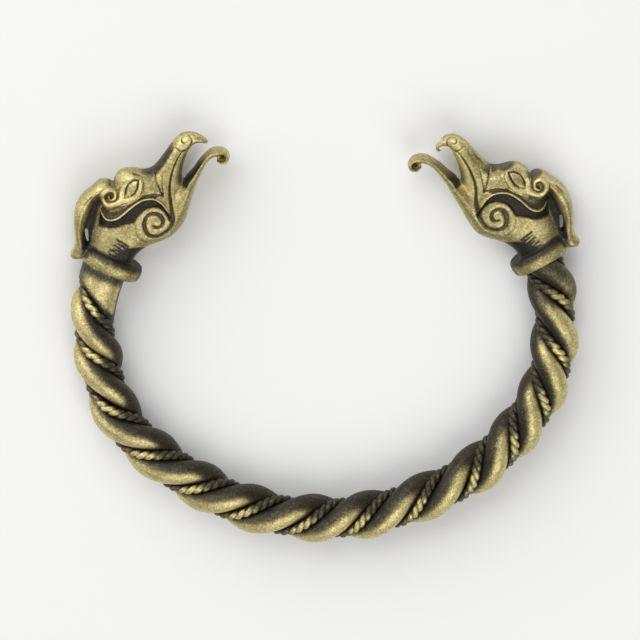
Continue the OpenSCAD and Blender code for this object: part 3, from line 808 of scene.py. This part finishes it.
def fingers(u, v):
    # Dark strokes of a brush that run into the patch on the neck, between 0 and 1
    amount = np.zeros(u.shape)
    for a, b in neckFingers:
        rows = [(a, b, .5, 1), (a - .6, b - 3.5, .95, 1), (a - 1.6, b - 8.5, 1.1, 1)]
        amount = np.maximum(amount, np.exp(-alongPath(u, v, rows)[0] ** 4))
    return amount


# Depths of tone on the heads, for patina, painted shade and painted highlights: 0 is worn bright,
# 1 is dark
tones = dict(plain=.33, least=.04, most=1.1, patch=.97, recess=.95, lobe=.26, lozenge=.28,
             lozengeRim=.95, ridge=.10, cut=1.2, curl=.85, domeShade=.78, low=.75, rimWorn=.6,
             sides=.26, beakBack=.84, front=.76, insidePaintedLight=.85, insideBelow=.5, rightJaw=.45,
             gapLeast=.35, besideGap=.55, collar=.3, collarFront=.9, collarBack=.6,
             collarThroat=.72, sleeve=.84, sleevePad=.70, padDull=.6)
# Where they lie: along and out in hundredths of the head's length, and from toEnd on in mm.
# The collar's front and back are in parts of its half width. Facing is 1 on a face and 0 on
# the sides, and leans is how far a side looks outwards
zones = dict(facing=(.05, .45), curlFacing=(.3, .7), lowFacing=(.3, .8), sidesFacing=(.45, .1),
             edgeFacing=(.97, .7), padFacing=(.15, .55), brightOnly=(.5, .2), curlReach=2.1,
             domeShade=(50.8, 20.2), domeShadeReach=3.4, earHole=(42.1, 16.4), earHoleReach=(1.3, 1.1),
             back=(59, 65), backEnds=(94, 84), backRightEnds=(74, 66), backLeans=(.05, .65),
             backOut=-12, jaw=(65.5, 68.5), jawEnds=(96, 82), jawRight=(80, 73),
             jawLeans=(.1, .35), jawOut=-19, inside=(58, 66), insideLeans=(-.15, -.5),
             insideOut=-22, front=(-.9, .9), patch=(-1.2, 1.2), recess=(-2.4, 1.1), lobe=-.2,
             lozenge=(0, 1), lozengeRim=.62, ridge=(.85, .4), cutReach=1.2, softPower=1.5,
             gap=(-1.8, 1.4), gapBeside=(-4.8, -.3), gapOut=17, collarThroat=(-17.5, -21.5),
             collarFront=(-.25, .75), collarBack=(.8, 1), collarEnds=(3.2, .6),
             collarOuter=(20.5, 18.2), toEnd=(.05, .8), pad=(1.9, 3.2), padOut=(1.6, 3.2),
             sleeve=(1.25, 1.5), rim=(.01, .09), low=(.02, .16), gapLow=(3.4, 2.0), blur=.4)


def zone(name, value):
    # How far a value lies into a zone, from 0 to 1
    return smoothstep(*zones[name], value)


def darker(a, b):
    return np.maximum(a, b)


def patinaAndLightTone(u, v, volute):
    # Depth of the patina on a face, with painted shade and painted highlights
    tone = np.full(u.shape, tones["plain"])
    for *at, reach, strength in brightSpots:
        tone *= 1 - strength * spotAt(u, v, at, reach)
    for outline, depth, soft in shadedAreas:
        inside = smoothstep(-soft, soft, insideOutline(u, v, outline))
        tone = darker(tone, depth * inside)
    for *at, reach, depth in softSpots:
        tone = darker(tone, depth * spotAt(u, v, at, reach) ** zones["softPower"])
    patch = zone("patch", insideOutline(u, v, neckPatch))
    tone = darker(tone, tones["patch"] * darker(patch, fingers(u, v)))
    recess = zone("recess", insideOutline(u, v, recessOutline))
    tone = darker(tone, tones["recess"] * recess)

    lobe = insideOutline(u, v, eyeLobe)
    tone = np.where(lobe > zones["lobe"], np.minimum(tone, tones["lobe"]), tone)
    lozenge = insideOutline(u, v, eyeLozenge)
    tone = darker(tone, tones["lozengeRim"] * np.exp(-(lozenge / zones["lozengeRim"]) ** 2))
    tone = darker(tone, tones["lozenge"] * zone("lozenge", lozenge))
    for rows, _, wear in ridges:
        d, share = alongPath(u, v, rows)
        bright = zone("ridge", d) * share * wear
        tone = tone * (1 - bright) + tones["ridge"] * bright
    for rows, _, depth in cutsOf(volute):
        d, share = alongPath(u, v, rows)
        cut = tones["cut"] * share * np.exp(-(d / zones["cutReach"]) ** 2)
        tone = darker(tone, depth * np.clip(cut, 0, 1))
    (holeU, holeV), (reachU, reachV) = zones["earHole"], zones["earHoleReach"]
    hole = ((u - holeU) / reachU) ** 2 + ((v - holeV) / reachV) ** 2
    return darker(tone, np.exp(-hole ** 2))


def sampled(grid, values, points):
    # A map over the head's plane, read at points
    i = np.clip(points[:, 0] / grid.voxel - grid.corner[0], 0, values.shape[0] - 1.001)
    j = np.clip(points[:, 1] / grid.voxel - grid.corner[1], 0, values.shape[1] - 1.001)
    i0, j0 = i.astype(int), j.astype(int)
    f, g = i - i0, j - j0
    return ((values[i0, j0] * (1 - f) + values[i0 + 1, j0] * f) * (1 - g)
            + (values[i0, j0 + 1] * (1 - f) + values[i0 + 1, j0 + 1] * f) * g)


def skinOf(grid, solid):
    # A solid's skin with fewer triangles where it is plain: points, triangles and normals
    field = openvdb.FloatGrid()
    field.copyFromArray(np.ascontiguousarray(solid))
    points, quads = field.convertToQuads(isovalue=0.0)
    points = (np.array(points, dtype=float) + grid.corner) * grid.voxel
    mesh = bpy.data.meshes.new("skin")
    mesh.from_pydata(points, [], np.array(quads, dtype=int).tolist())
    obj = addObject("skin", mesh)
    if len(quads) * 2 > head["triangles"]:
        modifier = obj.modifiers.new("thin", "DECIMATE")
        modifier.ratio = head["triangles"] / (len(quads) * 2)
        modifier.use_collapse_triangulate = True
    graph = bpy.context.evaluated_depsgraph_get()
    result = bpy.data.meshes.new_from_object(obj.evaluated_get(graph))
    bpy.data.objects.remove(obj)
    points, normals = meshPoints(result), pointNormals(result)
    faces = [tuple(f.vertices) for f in result.polygons]
    bpy.data.meshes.remove(result)
    bpy.data.meshes.remove(mesh)
    return points, faces, normals


def dropped(points):
    # Points of the lower jaw, turned down about the corner of the mouth
    corner = np.array(head["mouthCorner"])
    share = np.clip((points[:, 0] - corner[0]) / head["dropOver"], 0, 1)
    a, d = -np.radians(head["jawDrop"]) * share, points - corner
    return corner + np.column_stack([d[:, 0] * np.cos(a) - d[:, 1] * np.sin(a),
                                     d[:, 0] * np.sin(a) + d[:, 1] * np.cos(a)])


def raised(points):
    # Points of the throat, a little shallower round its middle
    away = (points[:, 0] - head["throatAt"]) / head["throatReach"]
    lift = head["throatIn"] * np.exp(-away ** 2)
    return points + np.column_stack([0 * lift, lift])


def trimmed(points):
    # Points of the beak, shorter beyond its nostril and with the hook nearer
    u, v = points[:, 0], points[:, 1]
    (fromU, fromV), over, shift = head["hookFrom"], head["hookOver"], head["hookShift"]
    f = np.clip((fromV - v) / over, 0, 1) * np.clip((u - fromU) / over, 0, 1)
    return np.column_stack([u - head["beakTrim"] * np.maximum(0, u - head["trimFrom"])
                            + f * shift[0], v + f * shift[1]])


def movedRows(rows, move):
    # A table with its two edges moved, and with the shallower throat
    rows = np.array(rows, dtype=float)
    return np.column_stack([move(rows[:, 0:2]), raised(move(rows[:, 2:4])), rows[:, 4]])


def reliefPlace(u, v, mirrored):
    # Where the tables' relief is read: on the right head it lies further out on the face
    if not mirrored:
        return u, v
    f = spotAt(u, v, head["reliefAt"], head["reliefReach"])
    ahead = head["reliefAhead"] * f + head["beakTrim"] * np.maximum(0, u - head["trimFrom"])
    return u + ahead, v - head["reliefOut"] * f


def headForms():
    # What differs between the two heads
    left = dict(mirrored=False, skull=spineRows + plainTip, jaw=jawRows, curlAt=head["curlAt"],
                slit=head["slit"], volute=voluteGroove, end=hoop["leftEnd"],
                gridFrom=(head["sleevedFrom"], *head["gridFrom"][1:]), out=0.0, turn=0.0,
                ropeOut=0.0)
    ropeOut = bendAt(np.radians([hoop["rightEnd"]]))[1][0] - hoop["rightOut"]
    right = dict(mirrored=True, skull=movedRows(spineRows + hookedTip, trimmed),
                 jaw=movedRows(jawRows, dropped), curlAt=dropped(np.array([head["curlAt"]]))[0],
                 slit=np.array(head["slit"]) + head["slitShift"], volute=rightVolute,
                 end=hoop["rightEnd"], gridFrom=head["gridFrom"], out=hoop["rightOut"],
                 turn=hoop["rightTurn"], ropeOut=ropeOut)
    return left, right


def castHead(grid, form):
    # The casting as distances from its skin, and the height of its relief
    x, y, z = np.meshgrid(grid.x, grid.y, grid.z, indexing="ij", sparse=True)
    u, v = np.meshgrid(grid.x / unit, grid.y / unit, indexing="ij")

    def joined(solid, skin, by):
        return softUnion(solid, grid.distance(skin), blend[by])

    solid = joined(grid.distance(ribSkin(form["skull"])), ribSkin(form["jaw"]), "jaw")
    curl = disc(form["curlAt"], head["curlRadius"])
    solid = joined(solid, slabSkin(curl, head["thick"] * head["curlThick"] / 2), "curl")
    if form["mirrored"]:
        at, radius, half = head["earBoss"]
        solid = joined(solid, slabSkin(disc(at, radius), half), "boss")
    solid = joined(solid, ribSkin(maneRows), "mane")
    web = grid.distance(slabSkin(webOutline, head["thick"] * head["webThick"] / 2))
    slit, _ = alongPath(u, v, [(*point, 1, 1) for point in form["slit"]])
    web = np.maximum(web, ((head["slitHalf"] - slit) * unit)[:, :, None])
    solid = softUnion(solid, web, blend["web"])

    height = reliefHeight(*reliefPlace(u, v, form["mirrored"]), form["volute"])
    height -= head["dimple"] * spotAt(u, v, form["curlAt"], head["dimpleReach"])
    top = np.maximum((np.abs(z) * (solid < 0)).max(axis=2), head["thinnest"])
    face = smoothstep(*head["reliefUp"], np.abs(z) / top[:, :, None])
    solid = solid - (height[:, :, None] * face).astype(np.float32)

    solid = joined(solid, collarSkin(), "collar")
    turn, outBy = math.radians(form["turn"]), form["ropeOut"]
    alongRope = x * math.cos(turn) + (y - outBy) * math.sin(turn)
    acrossRope = -x * math.sin(turn) + (y - outBy) * math.cos(turn)
    socket = np.maximum(np.hypot(acrossRope, z) - head["socketRadius"],
                        alongRope - head["socketFloor"])
    solid = np.maximum(solid, -socket).astype(np.float32)
    if not form["mirrored"]:
        middle = np.where(x < 0, head["sleeveRise"] - x * x / head["sleeveCurve"], 0)
        barrel = np.hypot(y - middle, z) - head["sleeveRadius"] - head["sleeveTaper"] * x
        ends = np.maximum(-x - (head["sleeveEnd"] - head["sleeveSlant"] * y), x)
        solid = softUnion(solid, np.maximum(barrel, ends).astype(np.float32), blend["sleeve"])
    return solid, height


def faceShade(shade, u, v, facing, hollow, curlAt):
    # Dark low places and worn rims; the patina thins towards the sides, which get an even painted
    # shade, and the dome's back gets a painted shade
    shade = darker(shade * zone("facing", facing), tones["least"])
    curl = tones["curl"] * spotAt(u, v, curlAt, zones["curlReach"])
    shade = darker(shade, curl * zone("curlFacing", facing))
    # Painted shade on the dome's back flank
    shade = darker(shade, tones["domeShade"] * spotAt(u, v, zones["domeShade"], zones["domeShadeReach"]))
    rim = zone("rim", -hollow) * zone("brightOnly", shade)
    shade = shade * (1 - tones["rimWorn"] * rim)
    low = zone("low", hollow) * zone("lowFacing", facing)
    shade = darker(shade, tones["low"] * low)
    # Painted shade on the sides, by how far they turn from the face
    return darker(shade, tones["sides"] * zone("sidesFacing", facing))


def beakShade(shade, u, v, facing, leans, mirrored):
    # The beak's back and the jaw's inner side get painted shade where they turn away, and the
    # beak's inner side a painted light
    back = tones["beakBack"] * (v > zones["backOut"])
    back = back * zone("back", u) * zone("backEnds", u) * zone("backLeans", leans)
    jaw = zone("jaw", u) * zone("jawEnds", u) * zone("jawLeans", leans) * (v < zones["jawOut"])
    if mirrored:
        back *= zone("backRightEnds", u)
        jaw *= tones["rightJaw"] + (1 - tones["rightJaw"]) * zone("jawRight", u)
        # Painted shade over the fronts of the right head's dome and mane
        for outline in (domeFront, maneFront):
            front = zone("front", insideOutline(u, v, outline))
            shade = darker(shade, tones["front"] * front)
    # Painted light on the beak's inner side, against the shading of its rounded edge
    inside = zone("inside", u) * zone("insideLeans", leans)
    inside *= (v > zones["insideOut"]) & (shade < tones["insideBelow"])
    shade = shade * (1 - tones["insidePaintedLight"] * inside)
    return darker(shade, darker(back, jaw) * zone("edgeFacing", facing))


def collarShade(shade, u, v, z):
    # The hollow under the mane, then the collar: dark edges round a plain band
    gap = insideOutline(u, v, maneGap)
    low = darker(zone("gapLow", np.abs(z)), tones["gapLeast"])
    shade = darker(shade, zone("gap", gap) * low)
    beside = zone("gapBeside", gap) * (v < zones["gapOut"])
    shade = darker(shade, tones["besideGap"] * beside)
    half = head["collarHalf"]
    edge = darker(tones["collarFront"] * zone("collarFront", u / half),
                  tones["collarBack"] * zone("collarBack", -u / half))
    edge = darker(edge, tones["collarThroat"] * zone("collarThroat", v))
    collar = zone("collarEnds", np.abs(u) - half) * zone("collarOuter", v)
    return darker(shade, collar * darker(edge, tones["collar"]))


def sleeveTone(shade, points, facing):
    # The sleeve is dark with a lighter pad on its face
    behind, y = -points[:, 0], points[:, 1]
    toEnd = head["sleeveEnd"] - head["sleeveSlant"] * y - behind
    pad = zone("pad", behind) * zone("toEnd", toEnd) * zone("padFacing", facing)
    pad *= 1 - tones["padDull"] * zone("padOut", y)
    onSleeve = zone("sleeve", behind)
    return shade * (1 - onSleeve) + (tones["sleeve"] - tones["sleevePad"] * pad) * onSleeve


def headShade(points, normals, hollow, form):
    # Depth of the patina, painted shade and painted highlights at each point of a head
    u, v = points[:, 0] / unit, points[:, 1] / unit
    facing = np.abs(normals[:, 2])
    shade = patinaAndLightTone(*reliefPlace(u, v, form["mirrored"]), form["volute"])
    shade = faceShade(shade, u, v, facing, hollow, form["curlAt"])
    shade = beakShade(shade, u, v, facing, normals[:, 1], form["mirrored"])
    shade = collarShade(shade, u, v, points[:, 2])
    if not form["mirrored"]:
        shade = sleeveTone(shade, points, facing)
    return np.clip(shade, 0, tones["most"])


def makeHead(name, node, form):
    # Made in its own frame in millimetres, then placed at its end of the rope
    voxel = head["voxel"]
    grid = HeadGrid(voxel, form["gridFrom"], head["gridTo"])
    solid, height = castHead(grid, form)
    points, faces, normals = skinOf(grid, solid)
    hollow = sampled(grid, blurred(height, zones["blur"] / voxel) - height, points)

    side = -1 if form["mirrored"] else 1
    middle, out = ovalAt(math.radians(form["end"]))
    at = middle + out * form["out"]
    angle = math.atan2(-side * out[0], side * out[1]) + math.radians(form["turn"])
    c, s = math.cos(angle), math.sin(angle)
    px, py = points[:, 0], points[:, 1] * side
    placed = np.column_stack([at[0] + px * c - py * s, at[1] + px * s + py * c, points[:, 2]])
    placed = (placed + np.array(hoop["middle"])) * mm
    mesh = bpy.data.meshes.new(name)
    mesh.from_pydata(placed, [], [face[::side] for face in faces])
    mesh.materials.append(headBronze)
    setAttribute(mesh, "patinaAndPaintedLight", headShade(points, normals, hollow, form))
    print(name, "made:", sum(len(face) - 2 for face in faces), "triangles")
    finishPiece(name, mesh, node)


leftForm, rightForm = headForms()
makeHead("leftHead", "head_left", leftForm)
makeHead("rightHead", "head_right", rightForm)
